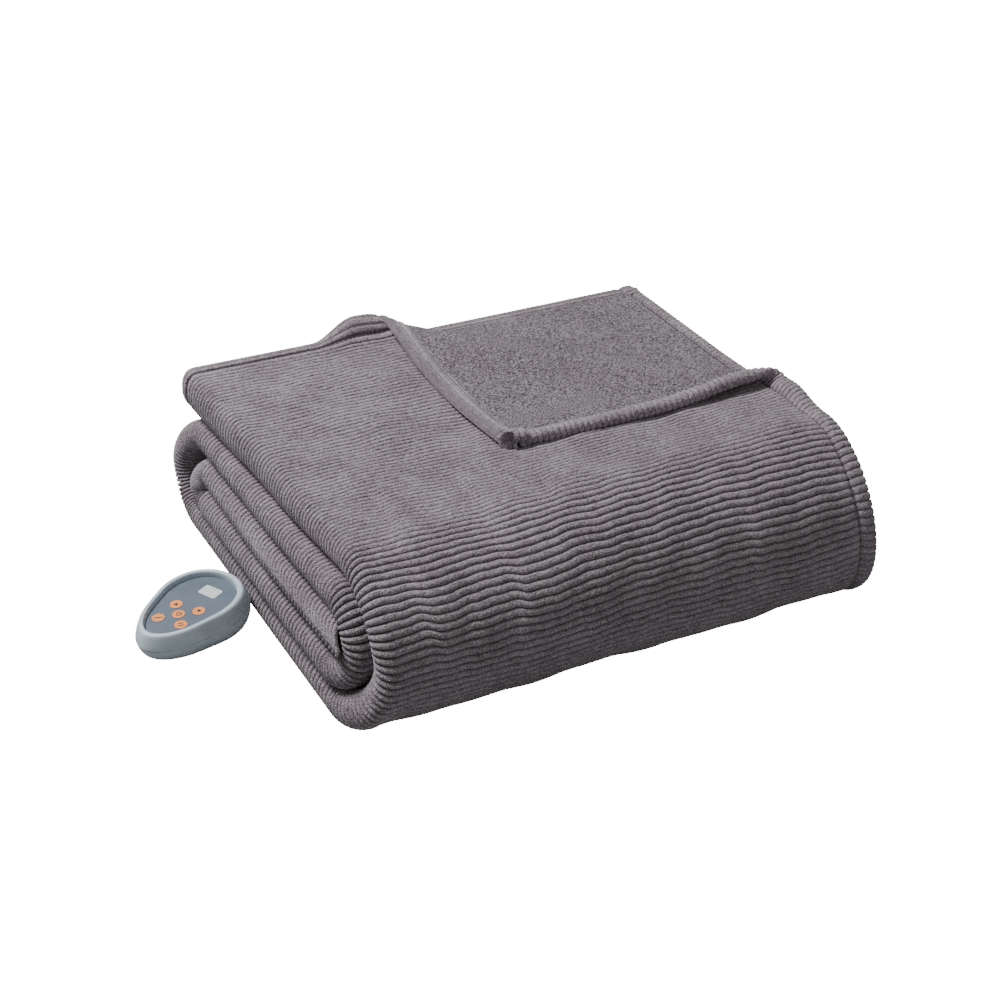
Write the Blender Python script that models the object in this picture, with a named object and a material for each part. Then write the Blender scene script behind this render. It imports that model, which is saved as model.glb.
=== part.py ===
# Electric heated blanket, folded for storage, with its hand controller standing beside it.
# Metres, +Z up.  The folded width runs along X (round folds at -X, hems at +X), the depth along Y
# (front turn at -Y, free hem at +Y), and the origin is under the middle of the cloth's underside.
#
# The cloth is one sheet.  Folded in half twice along X, it makes a bundle of four layers with its
# hems at +X.  The bundle is rolled flat about X in five passes, from the free hem inwards:
#   pass 5 on top - front turn - pass 1 on the floor - back turn - pass 4 - inner front turn -
#   pass 2 - inner back turn - pass 3, which ends inside.
# The back right corner of the uppermost layer is turned over and shows its fleece side.
#
# In the code, a row is a station along the roll, and a station is one along the section of the
# bundle.  Heights above the middle of a bundle count outwards from the roll.

import math

import bmesh
import bpy
from mathutils import Matrix, Vector

# The folded cloth
FOLD_WIDTH = 0.533              # round left fold to right hems, a quarter of 2.13 m
FOLD_DEPTH = 0.472              # front turn to the free hem at the back
SHEET = 0.0064                  # plush, heating wires and fleece together
LAYER_PITCH = 0.0072            # from one layer of a bundle to the next
PASS_PITCH = 0.0296             # from one pass of the roll to the next
PASSES = 5
RIB_PITCH = 0.0064              # the ribs run along X
RIB_DEPTH = 0.0015              # ridge to groove

# Hems: distance from the edge, and share of the sheet's thickness there
HEM = (
    {"inset": 0.0000, "share": 0.45},
    {"inset": 0.0030, "share": 1.00},
    {"inset": 0.0200, "share": 1.00},
)

# The turned-over corner
CORNER_ON_BACK = 0.350          # from the corner to the fold, along the back hem
CORNER_ON_SIDE = 0.328          # and along the right hem
CORNER_DEPTH = FOLD_DEPTH - CORNER_ON_SIDE
CURL_AT_BACK = 0.0125           # radius of the fold's loop at the back hem
CURL_IN_MIDDLE = 0.0080         # halfway between the hems
CURL_AT_SIDE = 0.0085           # and at the right hem
SETTLE_RUN = 0.075              # length over which the turned part comes down onto the cloth
CORNER_REST = 0.0022            # air left under it
ARCH_AT_BACK = 0.013            # lift of the cloth just before the fold, near the back hem
ARCH_AT_SIDE = 0.012            # and near the right hem
ARCH_REACH = 0.090
DIP_AT_BACK = 0.40              # share of that lift that is gone again where the fold begins
DIP_AT_SIDE = 0.65
DIP_REACH = 0.022
TIP_SHORT = 0.008               # by which the corner's rolled point falls short
CORNER_CUT = 0.006              # rounding of the corner's point

# How the roll lies
LOFT = 0.050                    # share by which it stands higher than its closest packing
FRONT_LOFT = 0.075              # and more at the front, towards the hems
FRONT_REACH = 0.30
BACK_PRESS = 0.055              # less under the free end, at the back of the round folds
SPRING = 0.0125                 # by which the free end's fold springs open there
FRONT_LEAN = 0.34               # sideways slope of the front turn, which bulges low down
LEAN_REACH = 0.26

# Where the round left folds end, for each pass from the floor up, at three depths
TONGUES = (
    {"front": -0.002, "middle": -0.003, "back": -0.004},
    {"front": -0.002, "middle": -0.004, "back": -0.004},
    {"front": 0.004, "middle": 0.000, "back": 0.004},
    {"front": 0.012, "middle": 0.009, "back": 0.008},
    {"front": 0.028, "middle": 0.020, "back": 0.012},
)

# Middles of the turns, as depths
FRONT_TURN = 0.0735
INNER_FRONT_TURN = 0.0780
BACK_TURN = 0.4200
INNER_BACK_TURN = 0.3960

# How far the layers of the roll's inner end reach into the turn around it
OUTER_TUCK = 0.0045
INNER_TUCK = 0.0120

# The roll in order.  A run stays on a pass, and a turn leads from one pass to another.
ROLL = (
    {"pass": 5, "to": 5, "start": FOLD_DEPTH, "end": CORNER_DEPTH, "steps": 3, "ribs": True},
    {"pass": 5, "to": 5, "start": CORNER_DEPTH, "end": FRONT_TURN, "steps": 3, "ribs": True},
    {"pass": 5, "to": 1, "start": FRONT_TURN, "end": FRONT_TURN, "steps": 6, "ribs": True},
    {"pass": 1, "to": 1, "start": FRONT_TURN, "end": BACK_TURN, "steps": 3, "ribs": False},
    {"pass": 1, "to": 4, "start": BACK_TURN, "end": BACK_TURN, "steps": 5, "ribs": True},
    {"pass": 4, "to": 4, "start": BACK_TURN, "end": INNER_FRONT_TURN, "steps": 3, "ribs": False},
    {"pass": 4, "to": 2, "start": INNER_FRONT_TURN, "end": INNER_FRONT_TURN, "steps": 4, "ribs": False},
    {"pass": 2, "to": 2, "start": INNER_FRONT_TURN, "end": INNER_BACK_TURN, "steps": 3, "ribs": False},
    {"pass": 2, "to": 3, "start": INNER_BACK_TURN, "end": INNER_BACK_TURN, "steps": 4, "ribs": False},
    {"pass": 3, "to": 3, "start": INNER_BACK_TURN, "end": INNER_FRONT_TURN, "steps": 3, "ribs": False},
)

# Steps of the section
OUTER_FOLD_STEPS = 5
INNER_FOLD_STEPS = 2
TOP_LEG = (0.66, 0.33)          # stations between the hem and the left fold, as shares
OTHER_LEG = (0.50,)
CURL_STEPS = 4
CORNER_STATIONS = (0.04, 0.10, 0.22, 0.36, 0.60, 0.82, 0.94, 1.0)   # beyond the loop
CORNER_COLUMNS = (0.22, 0.5, 0.78)                            # between its two hems

# The controller
CONTROL_LENGTH = 0.1252
CONTROL_WIDTH = 0.0912
CONTROL_HEIGHT = 0.0340         # at its middle, where the cover's rim is
CONTROL_TURN = math.radians(28.0)
CONTROL_TILT = math.radians(4.6)    # by which the cover rises towards the wide end
CONTROL_PLACE = Vector((-0.3315, 0.0086, 0))
EGG_TAPER = 0.15                # how much narrower the end with the keys is
EGG_BLUNT = 0.062               # how much blunter the other end
EGG_WAIST = 0.06                # and how much flatter the flanks between them
EGG_SIDES = 48
FIT_GAP = 0.0003                # between pieces that touch
KEY_RADIUS = 0.0062
KEY_SIDES = 28
KEY_PROUD = 0.0006
KEY_CLEARANCE = 0.0015          # free height under a key, for its 1 mm of travel
PANEL_TOP = 0.0286
PANEL_THICKNESS = 0.0035
WINDOW_LENGTH = 0.0142
WINDOW_WIDTH = 0.0208
WINDOW_THICKNESS = 0.0010
WINDOW_PLACE = Vector((0.0294, -0.0010, PANEL_TOP))
GLAND_RADIUS = 0.0045
GLAND_LENGTH = 0.0060
GLAND_BORE = 0.0027
GLAND_HEIGHT = 0.0080

# Heights and insets from the widest outline, up the outside of each shell
BASE_TOP = 0.0186
BASE_LEVELS = (
    {"z": 0.0000, "inset": 0.0090},
    {"z": 0.0015, "inset": 0.0066},
    {"z": 0.0055, "inset": 0.0036},
    {"z": 0.0110, "inset": 0.0014},
    {"z": BASE_TOP, "inset": 0.0004},
)
COVER_LEVELS = (
    {"z": BASE_TOP + FIT_GAP, "inset": 0.0004},
    {"z": BASE_TOP + 3 * FIT_GAP, "inset": 0.0000},
    {"z": 0.0250, "inset": 0.0018},
    {"z": 0.0300, "inset": 0.0044},
    {"z": 0.0328, "inset": 0.0068},
    {"z": CONTROL_HEIGHT, "inset": 0.0084},
    {"z": CONTROL_HEIGHT, "inset": 0.0094},
    {"z": 0.0330, "inset": 0.0105},
    {"z": PANEL_TOP - PANEL_THICKNESS - FIT_GAP, "inset": 0.0118},
)
PANEL_INSET = 0.0118 + FIT_GAP

# Keys, along the controller from its middle and across it
KEYS = (
    {"name": "key_warmer", "along": -0.0030, "across": 0.0126},
    {"name": "key_cooler", "along": 0.0005, "across": -0.0128},
    {"name": "key_power", "along": -0.0132, "across": 0.0000},
    {"name": "key_timer", "along": -0.0275, "across": 0.0126},
    {"name": "key_preheat", "along": -0.0240, "across": -0.0128},
)

# Colours (linear), roughness and metallic value
FINISHES = {
    "plush": {"colour": (0.118, 0.098, 0.112), "roughness": 0.92, "metallic": 0.0},
    "shell": {"colour": (0.36, 0.45, 0.50), "roughness": 0.42, "metallic": 0.0},
    "panel": {"colour": (0.19, 0.25, 0.33), "roughness": 0.48, "metallic": 0.0},
    "window": {"colour": (0.68, 0.72, 0.74), "roughness": 0.22, "metallic": 0.0},
    "key": {"colour": (0.90, 0.38, 0.16), "roughness": 0.50, "metallic": 0.0},
    "gland": {"colour": (0.12, 0.15, 0.18), "roughness": 0.60, "metallic": 0.0},
}

# Worked out from the sizes above
HALF_SHEET = SHEET / 2
OUTER_LAYER = 1.5 * LAYER_PITCH
INNER_LAYER = 0.5 * LAYER_PITCH
NOSE = OUTER_LAYER + HALF_SHEET
TOP_LAYER = NOSE + (PASSES - 1) * PASS_PITCH + OUTER_LAYER
MIDDLE_HEIGHT = NOSE + 2 * PASS_PITCH
FREE_PASS = (PASSES - 1) * PASS_PITCH       # height of the free end's underside
CORNER_START = Vector((FOLD_WIDTH - CORNER_ON_BACK, FOLD_DEPTH))
CORNER_END = Vector((FOLD_WIDTH, CORNER_DEPTH))
CORNER = Vector((FOLD_WIDTH, FOLD_DEPTH)) - CORNER_START
FOLD_LENGTH = (CORNER_END - CORNER_START).length
ALONG = (CORNER_END - CORNER_START).normalized()
ACROSS = Vector((-ALONG.y, ALONG.x))
CORNER_ALONG = CORNER.dot(ALONG)
CORNER_ACROSS = CORNER.dot(ACROSS)
CLOTH_ORIGIN = Vector((FOLD_WIDTH / 2, FOLD_DEPTH / 2, 0))
TINY = 1e-9


def smooth(share):
    """Rise from 0 to 1 with level ends."""
    share = min(1.0, max(0.0, share))
    return share * share * (3 - 2 * share)


def mix(first, second, share):
    return first + (second - first) * share


# ---- the folded cloth


def pass_height(number):
    """Height of the middle of a pass."""
    return NOSE + (number - 1) * PASS_PITCH


def tongue(number, depth):
    """Where a pass's round left fold ends, at a depth."""
    row = TONGUES[number - 1]
    share = 2 * depth / FOLD_DEPTH
    if share < 1:
        return mix(row["front"], row["middle"], smooth(share))
    return mix(row["middle"], row["back"], smooth(share - 1))


def settle(point):
    """The lean and loft that the regular roll takes as it lies, and the part's own origin."""
    x, y, z = point
    left = 1 - smooth(x / FOLD_WIDTH)
    front = 1 - smooth(y / FRONT_REACH)
    free_end = left * left * smooth(y / FOLD_DEPTH)
    loft = 1 + LOFT + FRONT_LOFT * front * (1 - left) - BACK_PRESS * free_end
    spring = SPRING * free_end * smooth((z - FREE_PASS) / (2 * NOSE))
    lean = FRONT_LEAN * (1 - smooth(y / LEAN_REACH))
    return Vector((x, y + lean * (z - MIDDLE_HEIGHT), z * loft + spring)) - CLOTH_ORIGIN


def run_rows(leg, first, last):
    """Rows of a run, without its first one, which ends the leg before it."""
    stops = []
    for k in range(0 if first else 1, leg["steps"] + 1):
        stops.append({"y": mix(leg["start"], leg["end"], k / leg["steps"]), "hem": 1.0})
    if first:
        stops[0:1] = [{"y": leg["start"] - row["inset"], "hem": row["share"]} for row in HEM]
    if last:
        stops[-1:] = [{"y": leg["end"] + row["inset"], "hem": row["share"]} for row in reversed(HEM)]
    normal = 90 if leg["pass"] in (3, 4, 5) else -90
    for stop in stops:
        stop.update({"angle": normal, "radius": 0.0, "centre": (0.0, pass_height(leg["pass"])),
                     "left": tongue(leg["pass"], stop["y"]),
                     "tuck": abs(stop["y"] - leg["start"]) / abs(leg["end"] - leg["start"]) if last else 0.0})
    return stops


def turn_rows(leg):
    """Rows of a turn, without its first one."""
    first = pass_height(leg["pass"])
    last = pass_height(leg["to"])
    start = 90 if first > last else -90
    rows = []
    for k in range(1, leg["steps"] + 1):
        share = k / leg["steps"]
        late = smooth(2 * share - 1)
        left = mix(tongue(leg["pass"], leg["start"]), tongue(leg["to"], leg["start"]), late)
        rows.append({"y": leg["start"], "hem": 1.0, "angle": start + 180 * share, "left": left,
                     "radius": abs(first - last) / 2, "centre": (leg["start"], (first + last) / 2),
                     "tuck": 0.0})
    return rows


def roll_rows():
    """All rows of the roll, each with the number of ribs between the last row and itself."""
    rows = []
    for leg in ROLL:
        if leg["pass"] == leg["to"]:
            added = run_rows(leg, leg is ROLL[0], leg is ROLL[-1])
        else:
            added = turn_rows(leg)
        for row in added:
            length = 0.0
            if rows and row["radius"]:
                length = math.radians(180 / leg["steps"]) * (row["radius"] + NOSE)
            elif rows:
                length = abs(row["y"] - rows[-1]["y"])
            row["ribs"] = round(length / RIB_PITCH) if leg["ribs"] else 0
            row["steps"] = leg["steps"]
            row["top"] = leg["pass"] == 5 and leg["to"] == 5
            rows.append(row)
    return rows


def row_between(row, following, share):
    """A row of the roll between two others, on the true arc of a turn."""
    mixed = dict(following)
    if following["radius"]:
        mixed["angle"] = following["angle"] - 180 / following["steps"] * (1 - share)
    else:
        mixed["y"] = mix(row["y"], following["y"], share)
    for key in ("left", "hem"):
        mixed[key] = mix(row[key], following[key], share)
    return mixed


def section_stations():
    """The sheet's path through the bundle, from the uppermost hem to the one below it."""
    stations = []

    def add(share, dx, height, nx, nh, hem=1.0):
        stations.append({"share": share, "dx": dx, "h": height, "nx": nx, "nh": nh, "hem": hem})

    def fold(share, dx, height, radius, start, sweep, steps, side):
        for k in range(steps + 1):
            angle = math.radians(start + sweep * k / steps)
            add(share, dx + radius * math.cos(angle), height + radius * math.sin(angle),
                side * math.cos(angle), side * math.sin(angle))

    for row in HEM:
        add(1, -row["inset"], OUTER_LAYER, 0, 1, row["share"])
    for share in TOP_LEG:
        add(share, 0, OUTER_LAYER, 0, 1)
    fold(0, 0, 0, OUTER_LAYER, 90, 180, OUTER_FOLD_STEPS, 1)
    for share in OTHER_LEG:
        add(share, 0, -OUTER_LAYER, 0, -1)
    fold(1, -INNER_LAYER - HALF_SHEET, -LAYER_PITCH, INNER_LAYER, -90, 180, INNER_FOLD_STEPS, 1)
    for share in OTHER_LEG:
        add(share, 0, -INNER_LAYER, 0, 1)
    fold(0, 0, 0, INNER_LAYER, 270, -180, INNER_FOLD_STEPS, -1)
    for share in OTHER_LEG:
        add(share, 0, INNER_LAYER, 0, -1)
    for row in reversed(HEM):
        add(1, -row["inset"], INNER_LAYER, 0, -1, row["share"])
    return stations


def corner_radius(along):
    """Radius of the corner's loop, tighter halfway between the hems."""
    from_middle = min(1.0, max(-1.0, 2 * along / FOLD_LENGTH - 1))
    widest = CURL_AT_BACK if from_middle < 0 else CURL_AT_SIDE
    return mix(CURL_IN_MIDDLE, widest, from_middle ** 2)


def corner_arch(along, before):
    """Lift of the cloth at a distance before the loop."""
    at_back = ARCH_AT_BACK * math.exp(-(along / ARCH_REACH) ** 2)
    at_side = ARCH_AT_SIDE * math.exp(-((along - FOLD_LENGTH) / ARCH_REACH) ** 2)
    near = math.exp(-(before / DIP_REACH) ** 2)
    lift = at_back * (1 - DIP_AT_BACK * near) + at_side * (1 - DIP_AT_SIDE * near)
    return lift * smooth(1 - before / ARCH_REACH)


def corner_place(along, across):
    """Middle of the uppermost layer, by its distances along and across the corner's fold."""
    radius = corner_radius(along)
    turned = math.pi * radius
    resting = SHEET + CORNER_REST
    arch = corner_arch(along, 0.0)
    if across <= 0:
        shift = across
        rise = corner_arch(along, -across)
    elif across < turned:
        shift = radius * math.sin(across / radius)
        rise = arch + radius * (1 - math.cos(across / radius))
    else:
        shift = turned - across
        landed = resting + corner_arch(along, -shift)
        rise = mix(arch + 2 * radius, landed, smooth((across - turned) / SETTLE_RUN))
    flat = CORNER_START + ALONG * along + ACROSS * shift
    return Vector((flat.x, flat.y, TOP_LAYER + rise))


def corner_point(along, across, offset):
    """A point of the uppermost layer, offset from its middle towards the ribs."""
    step = 0.0005
    by_along = corner_place(along + step, across) - corner_place(along - step, across)
    by_across = corner_place(along, across + step) - corner_place(along, across - step)
    normal = by_along.cross(by_across).normalized()
    return settle(corner_place(along, across) + normal * offset)


def cloth_point(station, row, side, groove):
    """A point of the cloth's ribbed side (+1) or its fleece side (-1)."""
    uppermost = row["top"] and station["h"] == OUTER_LAYER and station["nh"] == 1
    right = FOLD_WIDTH
    hem = station["hem"]
    if uppermost and row["y"] > CORNER_DEPTH + TINY:
        right -= CORNER_ON_BACK * (row["y"] - CORNER_DEPTH) / CORNER_ON_SIDE
        hem = 1.0
    x = mix(row["left"] + NOSE, right, station["share"]) + station["dx"]
    thickness = min(hem, row["hem"])
    offset = side * HALF_SHEET * thickness
    if side > 0:
        offset -= groove * thickness
    if uppermost and station["share"] > 0:
        flat = Vector((x, row["y"])) - CORNER_START
        return corner_point(flat.dot(ALONG), min(0.0, flat.dot(ACROSS)), offset)
    height = station["h"] + station["nh"] * offset
    angle = math.radians(row["angle"])
    inner = min(1.0, max(0.0, (OUTER_LAYER - abs(station["h"])) / LAYER_PITCH))
    depth = row["y"] - row["tuck"] * mix(OUTER_TUCK, INNER_TUCK, inner)
    y = depth + (row["radius"] + height) * math.cos(angle)
    z = row["centre"][1] + (row["radius"] + height) * math.sin(angle)
    return settle((x + station["nx"] * offset, y, z))


class Cloth:
    """Mesh of the sheet, made of chains of points with faces between them."""

    def __init__(self):
        self.mesh = bmesh.new()

    def chain(self, places):
        return [self.mesh.verts.new(place) for place in places]

    def join(self, left, right):
        """Faces between two chains that run side by side."""
        if len(left) == len(right):
            for k in range(len(left) - 1):
                self.mesh.faces.new((left[k], left[k + 1], right[k + 1], right[k]))
            return
        i = 0
        j = 0
        while i < len(left) - 1 or j < len(right) - 1:
            if j == len(right) - 1:
                step_left = True
            elif i == len(left) - 1:
                step_left = False
            else:
                to_right = (left[i + 1].co - right[j].co).length
                step_left = to_right < (right[j + 1].co - left[i].co).length
            if step_left:
                self.mesh.faces.new((left[i], left[i + 1], right[j]))
                i += 1
            else:
                self.mesh.faces.new((left[i], right[j + 1], right[j]))
                j += 1


def cloth_column(cloth, rows, station, side, dense, ribbed):
    """One column of points down the roll, as a chain for each step from row to row."""
    def groove(k):
        within = 0 < k < len(rows) - 1 and rows[k]["ribs"] and rows[k + 1]["ribs"]
        return RIB_DEPTH if ribbed and within else 0.0

    ends = cloth.chain([cloth_point(station, row, side, groove(k)) for k, row in enumerate(rows)])
    chains = []
    for k in range(len(rows) - 1):
        halves = 2 * rows[k + 1]["ribs"] if dense else 0
        inner = []
        for half in range(1, halves):
            row = row_between(rows[k], rows[k + 1], half / halves)
            depth = RIB_DEPTH if ribbed and half % 2 == 0 else 0.0
            inner.append(cloth_point(station, row, side, depth))
        chains.append([ends[k]] + cloth.chain(inner) + [ends[k + 1]])
    return chains


def add_corner(cloth, ribbed_base, fleece_base):
    """The turned-over corner, from its fold to its point."""
    back_slope = math.hypot(CORNER_ALONG, CORNER_ACROSS) / CORNER_ACROSS
    side_slope = math.hypot(FOLD_LENGTH - CORNER_ALONG, CORNER_ACROSS) / CORNER_ACROSS
    loop = math.pi * CURL_IN_MIDDLE
    turns = [(k / CURL_STEPS, 0.0) for k in range(1, CURL_STEPS + 1)]
    turns += [(1.0, share * (CORNER_ACROSS - CORNER_CUT - loop)) for share in CORNER_STATIONS]
    ribbed = [ribbed_base]
    fleece = [fleece_base]
    for turned, beyond in turns:
        reached = (loop * turned + beyond) / CORNER_ACROSS
        start = CORNER_ALONG * reached
        end = mix(FOLD_LENGTH, CORNER_ALONG, reached)
        squeeze = min(1.0, (end - start) / (5 * HEM[-1]["inset"]))
        columns = [(start + squeeze * back_slope * hem["inset"], hem["share"]) for hem in HEM]
        first = columns[-1][0]
        last = end - squeeze * side_slope * HEM[-1]["inset"]
        columns += [(mix(first, last, share), 1.0) for share in CORNER_COLUMNS]
        columns += [(end - squeeze * side_slope * hem["inset"], hem["share"]) for hem in reversed(HEM)]
        thinnest = HEM[0]["share"] if (turned, beyond) == turns[-1] else 1.0
        across = CORNER_ACROSS * reached - TIP_SHORT * smooth((reached - 0.6) / 0.4)
        for chains, side in ((ribbed, 1), (fleece, -1)):
            chains.append(cloth.chain([
                corner_point(along, across, side * HALF_SHEET * min(share, thinnest))
                for along, share in columns]))
    for chains in (ribbed, fleece):
        for k in range(len(chains) - 1):
            cloth.join(chains[k], chains[k + 1])
    for end in (0, -1):
        cloth.join([chain[end] for chain in ribbed], [chain[end] for chain in fleece])
    cloth.join(ribbed[-1], fleece[-1])


def joined(chains):
    """One chain out of several that follow each other."""
    points = [chains[0][0]]
    for chain in chains:
        points += chain[1:]
    return points


def make_cloth():
    rows = roll_rows()
    stations = section_stations()
    last_dense = len(HEM) + len(TOP_LEG) + OUTER_FOLD_STEPS
    cloth = Cloth()
    ribbed = []
    fleece = []
    for k, station in enumerate(stations):
        ribbed.append(cloth_column(cloth, rows, station, 1, k <= last_dense, k < last_dense))
        fleece.append(cloth_column(cloth, rows, station, -1, False, False))
    corner_row = [k for k, row in enumerate(rows) if row["top"] and row["y"] > CORNER_DEPTH + TINY][-1] + 1
    for side in (ribbed, fleece):
        for k in range(len(stations) - 1):
            for step in range(len(rows) - 1):
                cloth.join(side[k][step], side[k + 1][step])
    for step in range(len(rows) - 1):
        if step >= corner_row:
            cloth.join(ribbed[0][step], fleece[0][step])
        cloth.join(ribbed[-1][step], fleece[-1][step])
    for step, end in ((0, 0), (-1, -1)):
        cloth.join([column[step][end] for column in ribbed], [column[step][end] for column in fleece])
    add_corner(cloth, joined(ribbed[0][:corner_row]), joined(fleece[0][:corner_row]))
    bmesh.ops.triangulate(cloth.mesh, faces=cloth.mesh.faces)
    bmesh.ops.recalc_face_normals(cloth.mesh, faces=cloth.mesh.faces)
    return make_object("blanket", cloth.mesh, "plush")


# ---- the controller, built about its own middle, with its length along X


def egg(level, side, tilt):
    """A point of the controller's outline at a level, egg-shaped, on a plane that rises along X."""
    angle = 2 * math.pi * side / EGG_SIDES
    forward = math.cos(angle)
    sideways = math.sin(angle) * (1 + EGG_TAPER * forward)
    sideways *= 1 - EGG_WAIST * math.exp(-((forward + 0.3) / 0.35) ** 2)
    x = (CONTROL_LENGTH / 2 - level["inset"]) * (forward + EGG_BLUNT * math.sin(angle) ** 2)
    y = (CONTROL_WIDTH / 2 - level["inset"]) * sideways
    turned = Matrix.Rotation(-tilt, 3, "Y")
    return turned @ Vector((x, y, level["z"]))


def loft(mesh, levels, tilt):
    """Close a stack of egg-shaped rings into a solid, its top tilted and its bottom level."""
    rings = []
    for level in levels:
        share = level["z"] / levels[-1]["z"]
        rings.append([mesh.verts.new(egg(level, side, tilt * share)) for side in range(EGG_SIDES)])
    for lower, upper in zip(rings, rings[1:]):
        for side in range(EGG_SIDES):
            after = (side + 1) % EGG_SIDES
            mesh.faces.new((lower[side], lower[after], upper[after], upper[side]))
    mesh.faces.new(list(reversed(rings[0])))
    mesh.faces.new(rings[-1])
    bmesh.ops.recalc_face_normals(mesh, faces=mesh.faces)


def make_shell(name, levels, finish, tilt=0.0, sharp_above=28):
    mesh = bmesh.new()
    loft(mesh, levels, tilt)
    return make_object(name, mesh, finish, sharp_above)


def make_panel():
    """Recessed plate with a hole for each key and a shallow seat for the window."""
    bottom = PANEL_TOP - PANEL_THICKNESS
    levels = [{"z": height, "inset": PANEL_INSET} for height in (bottom, PANEL_TOP)]
    panel = make_shell("controller_panel", levels, "panel", sharp_above=None)
    holes = bmesh.new()
    for key in KEYS:
        add_cylinder(holes, Vector((key["along"], key["across"], PANEL_TOP - PANEL_THICKNESS / 2)),
                     KEY_RADIUS + FIT_GAP, 2 * PANEL_THICKNESS, KEY_SIDES)
    seat = WINDOW_THICKNESS + FIT_GAP
    size = Vector((WINDOW_LENGTH + 2 * FIT_GAP, WINDOW_WIDTH + 2 * FIT_GAP, 2 * seat))
    add_block(holes, WINDOW_PLACE, size)
    cutter = make_object("panel_cutter", holes, "panel")
    cut(panel, cutter)
    return [panel, cutter]


def make_window():
    mesh = bmesh.new()
    size = Vector((WINDOW_LENGTH, WINDOW_WIDTH, WINDOW_THICKNESS))
    add_block(mesh, Vector((0, 0, -WINDOW_THICKNESS / 2)), size)
    window = make_object("controller_window", mesh, "window")
    window.location = WINDOW_PLACE
    return window


def make_key(key):
    """Round key with a softened rim, its origin under its middle, on the axis it is pressed along."""
    bottom = PANEL_TOP - PANEL_THICKNESS - FIT_GAP + KEY_CLEARANCE
    height = PANEL_TOP + KEY_PROUD - bottom
    mesh = bmesh.new()
    add_cylinder(mesh, Vector((0, 0, height / 2)), KEY_RADIUS, height, KEY_SIDES)
    rim = [edge for edge in mesh.edges if min(vert.co.z for vert in edge.verts) > height - TINY]
    bmesh.ops.bevel(mesh, geom=rim, offset=KEY_PROUD * 0.7, segments=2, profile=0.5, affect="EDGES")
    made = make_object(key["name"], mesh, "key")
    made.location = (key["along"], key["across"], bottom)
    return made


def make_gland(base):
    """Round collar at the wide end that the lead would come out of, seated in a hole of the base."""
    seat = Vector((CONTROL_LENGTH / 2 - GLAND_LENGTH / 2 - 0.0005, 0, GLAND_HEIGHT))
    mesh = bmesh.new()
    add_cylinder(mesh, Vector((0, 0, 0)), GLAND_RADIUS, GLAND_LENGTH, KEY_SIDES)
    gland = make_object("lead_gland", mesh, "gland")
    gland.location = seat
    gland.rotation_euler = (0, math.pi / 2, 0)
    bore = bmesh.new()
    add_cylinder(bore, Vector((0, 0, GLAND_LENGTH / 2)), GLAND_BORE, 1.4 * GLAND_LENGTH, KEY_SIDES)
    bore_cutter = make_object("bore_cutter", bore, "gland")
    bore_cutter.location = gland.location
    bore_cutter.rotation_euler = gland.rotation_euler
    cut(gland, bore_cutter)
    hole = bmesh.new()
    add_cylinder(hole, Vector((0, 0, GLAND_LENGTH)), GLAND_RADIUS + FIT_GAP, 3 * GLAND_LENGTH + 2 * FIT_GAP,
                 KEY_SIDES)
    hole_cutter = make_object("seat_cutter", hole, "gland")
    hole_cutter.location = gland.location
    hole_cutter.rotation_euler = gland.rotation_euler
    cut(base, hole_cutter)
    return [gland, bore_cutter, hole_cutter]


def make_controller():
    lower = make_holder("controller", CONTROL_PLACE, (0, 0, CONTROL_TURN))
    upper = make_holder("controller_top", (0, 0, 0), (0, -CONTROL_TILT, 0))
    upper.parent = lower
    base = make_shell("controller_base", BASE_LEVELS, "shell", CONTROL_TILT)
    for piece in [base] + make_gland(base):
        piece.parent = lower
    cover = make_shell("controller_cover", COVER_LEVELS, "shell")
    for piece in [cover, make_window()] + make_panel() + [make_key(key) for key in KEYS]:
        piece.parent = upper


# ---- helpers


def make_holder(name, place, turn):
    """Empty that carries other objects."""
    holder = bpy.data.objects.new(name, None)
    bpy.context.scene.collection.objects.link(holder)
    holder.location = place
    holder.rotation_euler = turn
    return holder


def add_cylinder(mesh, middle, radius, height, sides):
    made = bmesh.ops.create_cone(mesh, cap_ends=True, segments=sides, radius1=radius, radius2=radius,
                                 depth=height)
    bmesh.ops.translate(mesh, verts=made["verts"], vec=middle)


def add_block(mesh, middle, size):
    made = bmesh.ops.create_cube(mesh, size=1.0)
    bmesh.ops.scale(mesh, verts=made["verts"], vec=size)
    bmesh.ops.translate(mesh, verts=made["verts"], vec=middle)


def cut(solid, cutter):
    """Take a hidden cutter away from a solid."""
    cutter.hide_render = True
    cutter.display_type = "WIRE"
    modifier = solid.modifiers.new("cut", "BOOLEAN")
    modifier.operation = "DIFFERENCE"
    modifier.object = cutter


def make_material(name):
    material = bpy.data.materials.new(name)
    material.use_nodes = True
    shader = material.node_tree.nodes["Principled BSDF"]
    finish = FINISHES[name]
    shader.inputs["Base Color"].default_value = (*finish["colour"], 1.0)
    shader.inputs["Roughness"].default_value = finish["roughness"]
    shader.inputs["Metallic"].default_value = finish["metallic"]
    return material


def make_object(name, mesh, finish, sharp_above=28):
    """Object from a mesh, smooth-shaded apart from edges sharper than an angle in degrees."""
    data = bpy.data.meshes.new(name)
    mesh.to_mesh(data)
    mesh.free()
    if sharp_above:
        data.shade_smooth()
        data.set_sharp_from_angle(angle=math.radians(sharp_above))
    made = bpy.data.objects.new(name, data)
    data.materials.append(make_material(finish))
    bpy.context.scene.collection.objects.link(made)
    return made


def main():
    for old in list(bpy.data.objects):
        bpy.data.objects.remove(old, do_unlink=True)
    make_cloth()
    make_controller()


main()
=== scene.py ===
import math

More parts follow.
